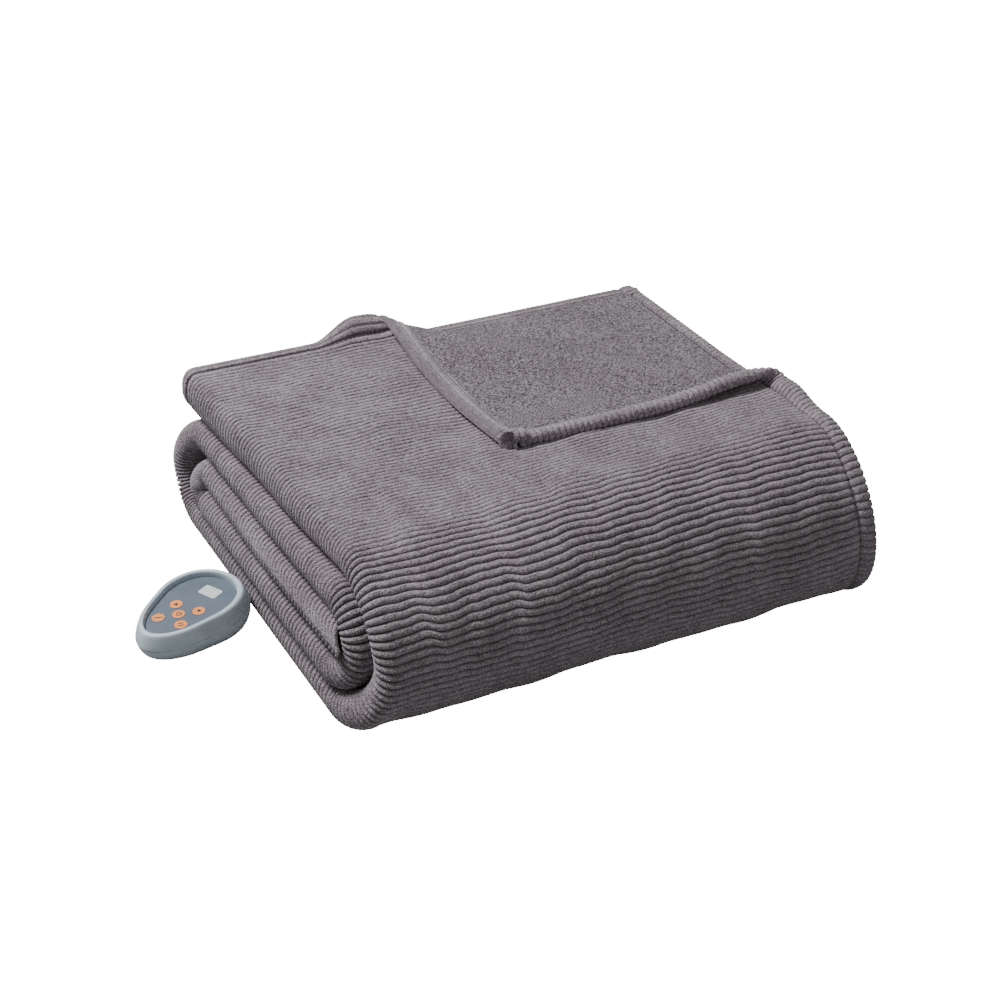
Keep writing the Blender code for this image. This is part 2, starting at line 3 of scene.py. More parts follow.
import bpy
import numpy as np
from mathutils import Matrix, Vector


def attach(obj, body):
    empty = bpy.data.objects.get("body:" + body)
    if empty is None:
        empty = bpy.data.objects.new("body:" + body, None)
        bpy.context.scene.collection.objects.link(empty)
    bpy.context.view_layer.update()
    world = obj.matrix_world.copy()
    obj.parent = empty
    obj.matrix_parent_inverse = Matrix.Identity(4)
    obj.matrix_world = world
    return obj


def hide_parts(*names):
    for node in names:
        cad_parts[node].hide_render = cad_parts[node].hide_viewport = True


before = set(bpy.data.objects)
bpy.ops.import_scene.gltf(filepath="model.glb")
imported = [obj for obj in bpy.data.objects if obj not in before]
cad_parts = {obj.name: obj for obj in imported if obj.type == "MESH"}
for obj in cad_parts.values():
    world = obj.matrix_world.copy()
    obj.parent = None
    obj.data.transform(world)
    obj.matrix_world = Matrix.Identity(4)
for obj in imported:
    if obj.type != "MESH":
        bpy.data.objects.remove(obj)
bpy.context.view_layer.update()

# Camera, floor and light

view = {"azimuth": -26.52, "elevation": 30.20, "distance": 2.1044, "target": (0.03876, 0.09948, 0.0),
        "lens": 72.017, "sensor": 36.0}


def addObject(name, data):
    piece = bpy.data.objects.new(name, data)
    bpy.context.scene.collection.objects.link(piece)
    return piece


def addCamera():
    azimuth = math.radians(view["azimuth"])
    elevation = math.radians(view["elevation"])
    back = Vector((math.sin(azimuth) * math.cos(elevation), -math.cos(azimuth) * math.cos(elevation),
                   math.sin(elevation)))
    camera = addObject("camera", bpy.data.cameras.new("camera"))
    camera.location = Vector(view["target"]) + back * view["distance"]
    camera.rotation_euler = (-back).to_track_quat("-Z", "Y").to_euler()
    camera.data.lens = view["lens"]
    camera.data.sensor_width = view["sensor"]
    bpy.context.scene.camera = camera


studio = {
    "worldStrength": 0.15, "backdrop": 1.0, "aim": (0.0, 0.0, 0.08),
    "lamps": [
        {"name": "key", "place": (-1.05, 0.90, 2.35), "size": 0.8, "power": 90.0},
        {"name": "front", "place": (0.9, -2.2, 1.1), "size": 1.5, "power": 5.0},
    ],
    "floorSize": 12.0, "floorDrop": 0.0005, "floorSeen": 0.92, "floorBounce": 0.30, "floorLift": 16.0,
}


def addStudio():
    world = bpy.data.worlds.new("studio")
    bpy.context.scene.world = world
    world.use_nodes = True
    nodes, links = world.node_tree.nodes, world.node_tree.links
    seen = nodes.new("ShaderNodeLightPath")
    strength = nodes.new("ShaderNodeMapRange")
    strength.inputs["To Min"].default_value = studio["worldStrength"]
    strength.inputs["To Max"].default_value = studio["backdrop"]
    background = nodes["Background"]
    background.inputs["Color"].default_value = (1.0, 1.0, 1.0, 1.0)
    links.new(seen.outputs["Is Camera Ray"], strength.inputs["Value"])
    links.new(strength.outputs["Result"], background.inputs["Strength"])
    for lamp in studio["lamps"]:
        light = bpy.data.lights.new(lamp["name"], "AREA")
        light.energy = lamp["power"]
        light.size = lamp["size"]
        holder = addObject(lamp["name"], light)
        holder.location = lamp["place"]
        aim = Vector(studio["aim"]) - Vector(lamp["place"])
        holder.rotation_euler = aim.to_track_quat("-Z", "Y").to_euler()
    bpy.ops.mesh.primitive_plane_add(size=studio["floorSize"], location=(0.0, 0.0, -studio["floorDrop"]))
    floor = bpy.context.object
    floor.name = "floor"
    paint = bpy.data.materials.new("floorPaint")
    paint.use_nodes = True
    nodes, links = paint.node_tree.nodes, paint.node_tree.links
    path = nodes.new("ShaderNodeLightPath")
    tone = nodes.new("ShaderNodeMapRange")      # a white floor that throws little light back
    tone.inputs["To Min"].default_value = studio["floorBounce"]
    tone.inputs["To Max"].default_value = studio["floorSeen"]
    shader = nodes["Principled BSDF"]
    shader.inputs["Roughness"].default_value = 0.95
    shader.inputs["Specular IOR Level"].default_value = 0.0
    links.new(path.outputs["Is Camera Ray"], tone.inputs["Value"])
    links.new(tone.outputs["Result"], shader.inputs["Base Color"])
    lift = nodes.new("ShaderNodeMath")      # lifts the floor to white without lighting the cloth
    lift.operation = "MULTIPLY"
    lift.inputs[1].default_value = studio["floorLift"]
    shader.inputs["Emission Color"].default_value = (1.0, 1.0, 1.0, 1.0)
    links.new(path.outputs["Is Camera Ray"], lift.inputs[0])
    links.new(lift.outputs["Value"], shader.inputs["Emission Strength"])
    floor.data.materials.append(paint)


addCamera()
addStudio()
print("camera, floor and light are in")

# How the blanket is folded: the same numbers as the solid's

cloth = {
    "foldWidth": 0.533, "foldDepth": 0.472, "sheet": 0.0064, "layerPitch": 0.0072, "passPitch": 0.0296,
    "offFloor": 0.0003,
    "ribPitch": 0.0064, "ribDepth": 0.0029, "ribRise": 0.0008, "ribFlatness": 2.6, "ribRoundness": 0.60,
    "foldRibs": 1.35,       # how much deeper the ribs are on the round folds, and how much darker their painted groove shade
}
hem = {
    "width": 0.0170,        # from the edge to its stitches, on the ribbed side
    "across": 0.0150,       # the same on the fleece side, across the ribs
    "second": 0.0112,       # and on the second sheet
    "turned": 0.0195,       # and where the ribs run along the hem
    "fleeceSide": 1.06,     # where the fleece starts, in hem widths
    "puff": 0.0046, "flapPuff": 0.0056,     # half its thickness, and at the turned corner
    "atCorner": 1.15,       # how much thicker it gets where two meet
    "ribDepth": 0.0017,
    "reach": 0.0310,        # from an edge to where its hem's columns end
    "out": 0.0045,          # how far the right hem stands out
    "shallow": 0.75, "shallowEdge": 0.50,       # its ribs against the others', flat on and at the edge
    "rows": 64, "endFade": 0.004,       # where the ribs run along it
    "shade": 0.60, "shadeReach": 0.006,     # painted shade where it turns down to the edge, on the side turned from the light
    # painted shade along the stitched groove: where it runs, how wide and how dark
    "stitchLine": 0.99, "stitchDip": 0.035, "stitchShade": 0.8,
}
tip = {       # the turned corner's rolled point, and the slit in its face
    "alongFront": 0.024, "alongLeft": 0.055, "fade": 0.006, "puff": 0.45, "lift": 0.0020,
    "out": 0.0030, "outReach": 0.012, "slit": 0.0060, "slitHeight": 0.0018, "slitStart": 0.005,
}
tongueEnds = ((-0.002, -0.003, -0.004), (-0.002, -0.004, -0.004), (0.004, 0.0, 0.004), (0.012, 0.009, 0.008),
              (0.028, 0.020, 0.012))     # for each pass from the floor up: front, middle and back
corner = {
    "onBack": 0.331, "onSide": 0.328, "curlAtBack": 0.0090, "curlInMiddle": 0.0080, "curlAtSide": 0.0080,
    "wideAtBack": 2.26,     # the loop at the back is wider than it is high
    "settleRun": 0.075, "rest": 0.0022, "archAtBack": 0.001, "archAtSide": 0.002, "archReach": 0.090,
    "tipShort": 0.008, "tipFrom": 0.6, "cut": 0.012, "outFade": 0.06, "frontFade": 0.06,
}
stand = {       # how the hems stand up beside the loops, and how soon that fades to each side
    "back": 0.022, "backReach": 0.016, "backRise": 0.047, "backFall": 0.060,
    "side": 0.0085, "sideReach": 0.013, "sideRise": 0.150, "sideFall": 0.045,
}
lie = {
    "loft": 0.050, "frontLoft": 0.075, "frontReach": 0.30, "backPress": 0.055, "spring": 0.0125,
    "frontLean": 0.34, "leanReach": 0.26,
}
rollStops = (      # pass and depth where the roll turns, from the back hem on top to its inner end
    (5, 0.4720), (5, 0.0735), (1, 0.0735), (1, 0.4200), (4, 0.4200), (4, 0.0780), (2, 0.0780), (2, 0.3960),
    (3, 0.3960), (3, 0.0780))
roll = [{"from": stop[0], "to": after[0], "start": stop[1], "end": after[1]}
        for stop, after in zip(rollStops, rollStops[1:])]
tuck = {"outerLayers": 0.0165, "innerLayers": 0.0180, "nose": 0.0200}     # how the roll's end fills the turn
foldWidth = cloth["foldWidth"]
foldDepth = cloth["foldDepth"]
passPitch = cloth["passPitch"]
ribPitch = cloth["ribPitch"]
halfSheet = cloth["sheet"] / 2
outerLayer = 1.5 * cloth["layerPitch"]
innerLayer = 0.5 * cloth["layerPitch"]
hemStart = foldWidth - hem["reach"]
nose = outerLayer + halfSheet
topLayer = nose + 4 * passPitch + outerLayer
cornerDepth = foldDepth - corner["onSide"]
cornerStart = np.array((foldWidth - corner["onBack"], foldDepth))
cornerRun = np.array((foldWidth, cornerDepth)) - cornerStart
foldLength = float(np.hypot(*cornerRun))
alongFold = cornerRun / foldLength
acrossFold = np.array((-alongFold[1], alongFold[0]))
tipAcross = float((np.array((foldWidth, foldDepth)) - cornerStart) @ acrossFold)


def smooth(share):
    share = np.clip(share, 0.0, 1.0)
    return share * share * (3 - 2 * share)


def mix(first, second, share):
    return first + (second - first) * share


def passHeight(number):
    return nose + (number - 1) * passPitch


def tongue(number, depth):      # where a pass's round fold ends
    front, middle, back = tongueEnds[number - 1]
    share = 2 * depth / foldDepth
    return np.where(share < 1, mix(front, middle, smooth(share)), mix(middle, back, smooth(share - 1)))


def countRibs():
    first = 0
    for leg in roll:
        rise = abs(passHeight(leg["from"]) - passHeight(leg["to"]))
        leg["radius"] = rise / 2
        length = abs(leg["end"] - leg["start"]) if rise == 0 else math.pi * (leg["radius"] + nose)
        leg["ribs"] = round(length / ribPitch)
        leg["first"] = first
        first += leg["ribs"]
    return first


allRibs = countRibs()


def rowPlace(rib):      # depth, height, radius, direction and left end of a row of the roll
    depth, centre, radius, angle, left = arrays = [np.zeros_like(rib) for k in range(5)]
    for number, leg in enumerate(roll):
        here = (number == 0) | (rib >= leg["first"])        # the first and last legs run on past the ends
        if number < len(roll) - 1:
            here = here & (rib < leg["first"] + leg["ribs"])
        share = (rib - leg["first"]) / leg["ribs"]
        low, high = passHeight(leg["from"]), passHeight(leg["to"])
        if leg["radius"]:
            start = 90.0 if low > high else -90.0
            late = smooth(2 * share - 1)
            ends = mix(tongue(leg["from"], leg["start"]), tongue(leg["to"], leg["start"]), late)
            values = (leg["start"], (low + high) / 2, leg["radius"], start + 180 * share, ends)
        else:
            row = mix(leg["start"], leg["end"], share)
            ends = tongue(leg["from"], np.clip(row, 0, foldDepth))
            values = (row, low, 0.0, 90.0 if leg["from"] > 2 else -90.0, ends)
        for array, value in zip(arrays, values):
            array[here] = np.broadcast_to(value, rib.shape)[here]
    return depth, centre, radius, np.radians(angle), left


def settle(x, y, z):        # the lean and loft that the regular roll takes as it lies
    left = 1 - smooth(x / foldWidth)
    front = 1 - smooth(y / lie["frontReach"])
    freeEnd = left * left * smooth(y / foldDepth)
    loft = 1 + lie["loft"] + lie["frontLoft"] * front * (1 - left) - lie["backPress"] * freeEnd
    spring = lie["spring"] * freeEnd * smooth((z - 4 * passPitch) / (2 * nose))
    lean = lie["frontLean"] * (1 - smooth(y / lie["leanReach"]))
    middle = nose + 2 * passPitch
    return np.stack((x - foldWidth / 2, y + lean * (z - middle) - foldDepth / 2,
                     z * loft + spring), axis=-1)


def cornerArch(along, before):      # lift of the cloth at a distance before the loop
    atBack = corner["archAtBack"] * np.exp(-(along / corner["archReach"]) ** 2)
    atSide = corner["archAtSide"] * np.exp(-((along - foldLength) / corner["archReach"]) ** 2)
    return (atBack + atSide) * smooth(1 - before / corner["archReach"])


def cornerStand(along, across):     # lift of the two hems beside the loops
    fromStart = alongFold[0] * along + acrossFold[0] * across
    fromBack = -alongFold[1] * along - acrossFold[1] * across
    fromSide = corner["onBack"] - fromStart
    beyond = corner["onSide"] - fromBack
    back = np.exp(-(fromBack / stand["backReach"]) ** 2)
    back = back * smooth(1 + fromStart / stand["backRise"]) * (1 - smooth(fromStart / stand["backFall"]))
    side = np.exp(-(fromSide / stand["sideReach"]) ** 2)
    side = side * smooth(1 + beyond / stand["sideRise"]) * (1 - smooth(beyond / stand["sideFall"]))
    return stand["back"] * back + stand["side"] * side


def cornerPlace(along, across):     # middle of the uppermost layer around the turned-over corner
    fromMiddle = np.clip(2 * along / foldLength - 1, -1, 1)
    widest = np.where(fromMiddle < 0, corner["curlAtBack"], corner["curlAtSide"])
    radius = mix(corner["curlInMiddle"], widest, fromMiddle ** 2)
    wide = mix(1, np.where(fromMiddle < 0, corner["wideAtBack"], 1), fromMiddle ** 2)
    stood = cornerStand(along, across)
    atTip = smooth((across / tipAcross - corner["tipFrom"]) / (1 - corner["tipFrom"]))
    across = across - corner["tipShort"] * atTip
    arch = cornerArch(along, 0.0)
    turned = np.pi * radius * (1 + wide) / 2
    resting = cloth["sheet"] + corner["rest"]
    before = across <= 0
    inLoop = ~before & (across < turned)
    bend = np.pi * np.clip(across / turned, 0, 1)
    shift = np.where(before, across, np.where(inLoop, radius * wide * np.sin(bend), turned - across))
    landed = resting + cornerArch(along, np.maximum(0, -shift))
    after = mix(arch + 2 * radius, landed, smooth((across - turned) / corner["settleRun"]))
    rise = np.where(before, cornerArch(along, np.maximum(0, -across)),
                    np.where(inLoop, arch + radius * (1 - np.cos(bend)), after))
    x = cornerStart[0] + alongFold[0] * along + acrossFold[0] * shift
    y = cornerStart[1] + alongFold[1] * along + acrossFold[1] * shift
    return np.stack((x, y, topLayer + rise + stood), axis=-1)


def cornerPoints(along, across, offset):
    step = 0.0005
    byAlong = cornerPlace(along + step, across) - cornerPlace(along - step, across)
    byAcross = cornerPlace(along, across + step) - cornerPlace(along, across - step)
    normal = np.cross(byAlong, byAcross)
    normal = normal / np.linalg.norm(normal, axis=-1, keepdims=True)
    place = cornerPlace(along, across) + normal * offset[..., None]
    return settle(place[..., 0], place[..., 1], place[..., 2])


# Ribs, waves and hems

waves = (      # sideways drift of the ribs: height in ribs, waves per metre and per rib, and their start
    (0.20, 3.1, 0.009, 0.2), (0.10, 8.3, -0.021, 1.9), (0.06, 19.0, 0.035, 0.7), (0.04, 41.0, -0.06, 2.6))
swells = (     # soft unevenness of the upper side, the same in metres
    (0.0009, 4.3, 0.017, 0.9), (0.0006, 9.1, -0.041, 2.2), (0.0004, 17.0, 0.073, 4.0))
slight = {"lift": 0.0008, "shift": 0.12, "run": (0.003, 0.004)}
short = {"run": (0.004, 0.004), "fade": (0.012, 0.012)}
creases = (    # lines of rib and distance from the middle, where the ribs step up to the right
    {"line": ((51, -0.193), (61, -0.205), (66, -0.214), (70, -0.213), (80, -0.208)), "ribs": (46, 84),
     "lift": 0.0030, "shift": 0.50, "run": (0.004, 0.008), "fade": (0.020, 0.045)},
    {"line": ((53, -0.111), (58.5, -0.115), (68, -0.118), (78, -0.121)), "ribs": (48, 82),
     "lift": 0.0030, "shift": 0.50, "run": (0.003, 0.010), "fade": (0.018, 0.050)},
    {"line": ((55, -0.043), (58.6, -0.042), (65.6, -0.047), (72, -0.033)), "ribs": (52, 78),
     "lift": 0.0022, "shift": 0.35, "run": (0.003, 0.010), "fade": (0.016, 0.045)},
    {**slight, "line": ((59, 0.165), (72, 0.134), (82, 0.127)), "ribs": (55, 88), "fade": (0.020, 0.020)},
    {**slight, "line": ((71, -0.110), (80, -0.129)), "ribs": (68, 88), "fade": (0.018, 0.020)},
    {**slight, "line": ((74, -0.165), (81, -0.177)), "ribs": (70, 88), "fade": (0.018, 0.020)},
    {**short, "line": ((12, -0.112), (17, -0.090), (22, -0.066)), "ribs": (9, 25),
     "lift": 0.0016, "shift": 0.15},
    {**short, "line": ((10, -0.190), (15, -0.150), (18, -0.125)), "ribs": (8, 21),
     "lift": 0.0012, "shift": 0.10},
    {"line": ((30, -0.030), (40, -0.060), (50, -0.075)), "ribs": (26, 54),
     "lift": 0.0011, "shift": 0.12, "run": (0.006, 0.006), "fade": (0.030, 0.030)},
)


calm = {      # where the drift and the unevenness die out, in ribs and metres
    "driftRibs": 5, "creaseIn": 7, "creaseOut": 9, "side": 0.05, "back": 3, "backFade": 5, "front": 110,
    "frontFade": 20,
}


def ribHeight(rib):     # 0 in the groove between two ribs, 1 on the crest
    within = np.abs(2 * (rib - np.floor(rib)) - 1)
    return (1 - within ** cloth["ribFlatness"]) ** cloth["ribRoundness"]


def waveSum(table, x, rib):
    total = np.zeros(np.broadcast(x, rib).shape)
    for height, perMetre, perRib, start in table:
        total = total + height * np.sin(2 * np.pi * (perMetre * x + perRib * rib) + start)
    return total


def creaseSum(x, rib, amount):
    total = np.zeros(np.broadcast(x, rib).shape)
    for crease in creases:
        ribs = np.array([point[0] for point in crease["line"]], float)
        line = np.interp(rib, ribs, [point[1] + foldWidth / 2 for point in crease["line"]])
        share = np.clip((rib - ribs[0]) / (ribs[-1] - ribs[0]), 0, 1)
        off = x - line
        step = np.tanh(off / mix(*crease["run"], share)) * np.exp(-np.abs(off) / mix(*crease["fade"], share))
        first, last = crease["ribs"]
        inside = smooth((rib - first) / calm["creaseIn"]) * smooth((last - rib) / calm["creaseOut"])
        total = total + crease[amount] * step * inside
    return total


def drift(x, rib):
    ends = smooth(rib / calm["driftRibs"]) * smooth((allRibs - rib) / calm["driftRibs"])
    return (waveSum(waves, x, rib) + creaseSum(x, rib, "shift")) * ends


def unevenness(x, rib, right):      # lift of the upper side, none at its edges and turned corner
    edges = smooth(x / calm["side"]) * smooth((right - x) / calm["side"])
    edges = edges * smooth((rib - calm["back"]) / calm["backFade"])
    edges = edges * smooth((calm["front"] - rib) / calm["frontFade"])
    return (waveSum(swells, x, rib) + creaseSum(x, rib, "lift")) * edges


hemShape = (       # share of the width, share of the thickness, from the fleece side round the edge
    (1.04, -0.66), (0.98, -0.58), (0.93, -0.80), (0.84, -0.96), (0.68, -1.03), (0.50, -1.04),
    (0.33, -0.98), (0.19, -0.82), (0.09, -0.60), (0.025, -0.31), (0.0, 0.0), (0.025, 0.31), (0.09, 0.60),
    (0.19, 0.80), (0.33, 0.93), (0.50, 1.0), (0.68, 0.98), (0.82, 0.84), (0.91, 0.58), (0.97, 0.36),
    (1.0, 0.30), (1.03, 0.36), (1.10, 0.62))
hemEnds = {"fleece": 1.16, "below": 0.0004, "ribbed": 1.22, "level": 0.96}     # where it meets the cloth


def hemProfile(fleeceWidth, ribDepth):      # rows of inset, offset, pull inwards and sideways, and painted shade
    points = [(fleeceWidth * hemEnds["fleece"], hemEnds["below"] - halfSheet)]
    for inset, height in hemShape:
        points.append(((fleeceWidth if height < 0 else hem["width"]) * inset, hem["puff"] * height))
    points.append((hem["width"] * hemEnds["ribbed"], halfSheet * hemEnds["level"]))
    points = np.array(points)
    if ribDepth:        # ribs along the hem need closer rows
        lengths = np.concatenate(([0], np.cumsum(np.hypot(*np.diff(points, axis=0).T))))
        places = np.linspace(0, lengths[-1], hem["rows"])
        points = np.stack([np.interp(places, lengths, points[:, k]) for k in range(2)], axis=-1)
    slope = np.gradient(points, axis=0)
    normal = np.stack((-slope[:, 1], slope[:, 0]), axis=-1)
    normal = normal / np.maximum(np.linalg.norm(normal, axis=-1, keepdims=True), 1e-9)
    normal = -normal if normal[len(points) // 2, 0] > 0 else normal
    shade = np.zeros(len(points))
    if ribDepth:
        phase = places / (lengths[-1] / round(lengths[-1] / ribPitch))
        fromEnds = np.minimum(places, lengths[-1] - places)
        groove = (1 - ribHeight(phase)) * smooth(fromEnds / hem["endFade"])
        points = points - normal * (ribDepth * groove)[:, None]
        # painted shade in the grooves of the hem's ribs and where it turns down to the edge on the fleece
        # side
        nearEdge = 1 - smooth(points[:, 0] / hem["shadeReach"] - 1)
        shade = np.maximum(groove, hem["shade"] * nearEdge * (points[:, 1] < 0.001))
    # painted shade along the stitch line
    widths = np.where(points[:, 1] < 0, fleeceWidth, hem["width"])
    stitched = np.abs(points[:, 0] / widths - hem["stitchLine"])
    shade = np.maximum(shade, np.exp(-(stitched / hem["stitchDip"]) ** 2) * hem["stitchShade"])
    return np.column_stack((points, -normal[:, 0], normal[:, 1], shade)).tolist()


def combine(first, second):     # offset where two hems meet, none at either edge
    most = hem["atCorner"] * np.maximum(np.abs(first), np.abs(second))
    size = np.minimum(np.abs(first * second) / halfSheet, most)
    return np.where((first < 0) | (second < 0), -size, size)


def gridParts(places):
    rows, columns = places.shape[:2]
    index = np.arange(rows * columns).reshape(rows, columns)
    faces = np.stack((index[:-1, :-1], index[:-1, 1:], index[1:, 1:], index[1:, :-1]), axis=-1).reshape(-1, 4)
    return places.reshape(-1, places.shape[-1]), faces


def joinCloth(name, parts, material):
    firsts = np.cumsum([0] + [len(places) for places, quads in parts])
    points = np.concatenate([places for places, quads in parts])
    faces = np.concatenate([quads + first for (places, quads), first in zip(parts, firsts)])
    mesh = bpy.data.meshes.new(name)
    mesh.vertices.add(len(points))
    mesh.vertices.foreach_set("co", points[:, :3].astype(np.float32).ravel())
    mesh.loops.add(faces.size)
    mesh.loops.foreach_set("vertex_index", faces.astype(np.int32).ravel())
    mesh.polygons.add(len(faces))
    mesh.polygons.foreach_set("loop_start", np.arange(0, faces.size, 4, dtype=np.int32))
    mesh.update(calc_edges=True)
    mesh.shade_smooth()
    groove = mesh.attributes.new("groove", "FLOAT", "POINT")        # painted shade: 1 at the bottom between two ribs, also along the hems' edges and stitches
    groove.data.foreach_set("value", points[:, 3].astype(np.float32))
    mesh.materials.append(material)
    piece = addObject(name, mesh)
    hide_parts("blanket")
    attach(piece, "rest")
    print(name, len(mesh.polygons) * 2, "triangles")
    return piece


topRibs = roll[0]["ribs"]


def foldEdge(depth):        # where the corner's fold crosses a row
    return foldWidth - corner["onBack"] * np.clip((depth - cornerDepth) / corner["onSide"], 0, 1)


def rowEdge(rows, inset):       # the same, with the drift of the ribs
    edge = np.full(rows.shape, foldWidth)
    for attempt in range(5):
        depth = rowPlace(rows + drift(edge, rows))[0]
        edge = foldEdge(np.where(inset > 0, foldDepth - inset, depth))
    return edge


def rollTip(x, depth, offset):      # the turned corner's rolled point
    atTip = 1 - smooth((foldDepth - depth - tip["alongFront"]) / tip["fade"])
    atTip = atTip * smooth(1 - (foldWidth - x) / tip["alongLeft"])
    offset = offset * (1 + tip["puff"] * atTip) - tip["lift"] * atTip
    slit = np.exp(-(offset / tip["slitHeight"]) ** 2) * smooth((x - foldWidth) / tip["fade"] + 1)
    slit = tip["slit"] * slit * smooth((foldDepth - depth) / tip["slitStart"])
    return x + (tip["out"] - slit) * atTip * smooth((x - foldWidth) / tip["outReach"] + 1), offset


def roundCorner(x, depth, inset):       # the sheet's own corners are round
    cut = corner["cut"]
    fromSide = cut - (foldWidth - x)
    fromBack = cut - (foldDepth - depth)
    reach = np.hypot(np.maximum(fromSide, 0), np.maximum(fromBack, 0))
    outside = (fromSide > 0) & (fromBack > 0) & (reach > cut) & (inset > 0)
    pull = np.where(outside, 1 - cut / np.maximum(reach, 1e-6), 0)
    return x - pull * fromSide, depth - pull * fromBack


def fromCorner(x, depth, way):
    return (x - cornerStart[0]) * way[0] + (depth - cornerStart[1]) * way[1]


def turnOver(places, x, depth, offset, onTop):      # the uppermost layer, carried over at its corner
    inHem = np.clip((x - foldWidth) / hem["reach"] + 1, 0, 1)
    x = x - hem["out"] * smooth(fromCorner(x, depth, acrossFold) / corner["outFade"]) * inHem
    along, across = fromCorner(x, depth, alongFold), fromCorner(x, depth, acrossFold)
    raised = cornerPoints(along, across, offset + 0 * along)
    fade = np.where(across > 0, 1, smooth((depth - roll[0]["end"]) / corner["frontFade"]))
    return np.where(onTop[..., None], mix(places, raised, fade[..., None]), places)


def clothPoints(columns, rows, squeezed=False):     # a grid of places and painted shades
    share, dx, height, nx, nh, own, pullIn, pullOff, shade = np.array(columns).T[:, None, :]
    rib, rowOffset, inset, rowShade = np.array(rows).T[:, :, None]
    right = np.full(rib.shape, foldWidth)
    if squeezed:
        right = np.minimum(rowEdge(rib, inset), hemStart)
    beyond = np.clip(share - 1, 0, 1)
    flatX = mix(mix(nose, right, np.minimum(share, 1)), hemStart, beyond) + dx
    moved = rib + drift(flatX, rib)
    depth, centre, radius, angle, left = rowPlace(moved)
    depth = np.where(inset > 0, foldDepth - inset, depth)
    inner = np.clip((outerLayer - np.abs(height)) / cloth["layerPitch"], 0, 1)
    ending = np.clip((moved - roll[-1]["first"]) / roll[-1]["ribs"], 0, 1)
    nosed = tuck["nose"] * (1 - np.sqrt(np.maximum(0, 1 - nx ** 2))) * (share < 0.5)
    depth = depth - (mix(tuck["outerLayers"], tuck["innerLayers"], inner) + nosed) * ending
    x = mix(mix(left + nose, right, np.minimum(share, 1)), hemStart, beyond) + dx
    groove = np.maximum(halfSheet + cloth["ribRise"] - rowOffset, 0) * ((inset <= 0) & (rowOffset > 0))
    if squeezed:        # the turned corner's hem is rounder
        rounder = mix(1, hem["flapPuff"] / hem["puff"], smooth((cornerRib - rib) / 6))
        own = np.where(np.abs(own) == halfSheet, own, own * rounder)
    offset = np.where(inset > 0, combine(rowOffset, own), own + (cloth["ribRise"] - groove) * pullOff)
    if squeezed:
        x, offset = rollTip(x, depth, offset)
    x, depth = roundCorner(x - groove * pullIn, depth, inset)
    flat = (height == outerLayer) & (nh == 1) & (share > 0)
    offset = offset + unevenness(flatX, rib, right) * (flat & (share <= 1))
    level = height + nh * offset
    places = settle(x + nx * offset, depth + (radius + level) * np.cos(angle),
                    centre + (radius + level) * np.sin(angle))
    onTop = flat & (radius == 0) & (moved <= topRibs)
    if onTop.any():
        places = turnOver(places, x, depth, offset, onTop)
    places[..., 2] = np.maximum(places[..., 2], cloth["offFloor"])
    # painted shade: darkest at the bottom of each groove between ribs, with the rows' and columns' own
    # painted shade
    dark = np.maximum(rowShade, groove / cloth["ribDepth"] * np.maximum(np.abs(pullOff), np.abs(pullIn)))
    dark = np.maximum(dark, shade)
    return np.dstack((places, np.broadcast_to(dark, places.shape[:2])))


def hemRows():      # rows of a hem along the ribs, from the fleece side round the edge
    return [(inset / ribPitch, offset, max(inset, 1e-6), shade)
            for inset, offset, pullIn, pullOff, shade in hemProfile(hem["turned"], hem["ribDepth"])]


ribPhases = {       # rows in each rib, closer together at the grooves
    8: (0, 0.06, 0.17, 0.36, 0.64, 0.83, 0.94), 6: (0, 0.08, 0.25, 0.5, 0.75, 0.92), 4: (0, 0.2, 0.5, 0.8),
    2: (0, 0.5),
}


def ribRows(first, last, samples):
    rows = [rib + phase for rib in range(math.floor(first), math.ceil(last)) for phase in ribPhases[samples]]
    rows = [first] + [row for row in rows if first + 0.02 < row < last - 0.02] + [last]
    crest = halfSheet + cloth["ribRise"]
    return [(row, crest - cloth["ribDepth"] * (1 - float(ribHeight(row))), 0.0, 0.0) for row in rows]


def fleeceRows(first, last, step):
    count = max(2, round((last - first) / step) + 1)
    return [(row, -halfSheet, 0.0, 0.0) for row in np.linspace(first, last, count)]


def column(share, dx, height, nx, nh, own=halfSheet, ribbed=1.0):
    return share, dx, height, nx, nh, own, 0.0, ribbed if own > 0 else 0.0, 0.0


def hemColumns(height, normal, side="across", share=1.0):      # columns of a hem across the ribs
    columns = []
    for inset, offset, pullIn, pullOff, shade in hemProfile(hem[side], 0):
        dx = (hem["reach"] if share > 1 else 0) - inset + hem["out"] * float(1 - smooth(inset / hem["reach"]))
        columns.append((share, dx, height, 0.0, normal, offset, pullIn * hem["shallowEdge"],
                        pullOff * hem["shallow"], shade))
    return columns


def span(first, last, count, height, normal, own=halfSheet):       # columns between two shares of the width
    return [column(share, 0.0, height, 0.0, normal, own) for share in np.linspace(first, last, count)]


def leftFold(radius, steps, side, own=halfSheet):
    turns = [math.radians(90 + 180 * step / steps) for step in range(steps + 1)]
    return [column(0.0, radius * math.cos(turn), radius * math.sin(turn), side * math.cos(turn),
                   side * math.sin(turn), own, cloth["foldRibs"]) for turn in turns]


def rightFold(steps, own=halfSheet):
    turns = [math.radians(-90 + 180 * step / steps) for step in range(steps + 1)]
    return [column(1.0, -innerLayer - halfSheet + innerLayer * math.cos(turn),
                   -cloth["layerPitch"] + innerLayer * math.sin(turn), math.cos(turn), math.sin(turn), own)
            for turn in turns]


def closerAtStart(count, even):     # shares from 0 to 1
    return [even * step / count + (1 - even) * (step / count) ** 2 for step in range(count + 1)]


def clothPiece(name, grids, material):      # a piece of cloth made of its grids
    piece = joinCloth(name, [gridParts(places) for places in grids], material)


def findCornerRib():        # where the right hem starts to turn over with the corner
    fromBack = foldDepth - cornerDepth - hem["reach"] * corner["onSide"] / corner["onBack"]
    rib = topRibs * fromBack / (foldDepth - roll[0]["end"])
    return float(rib - drift(hemStart, np.array(rib)))


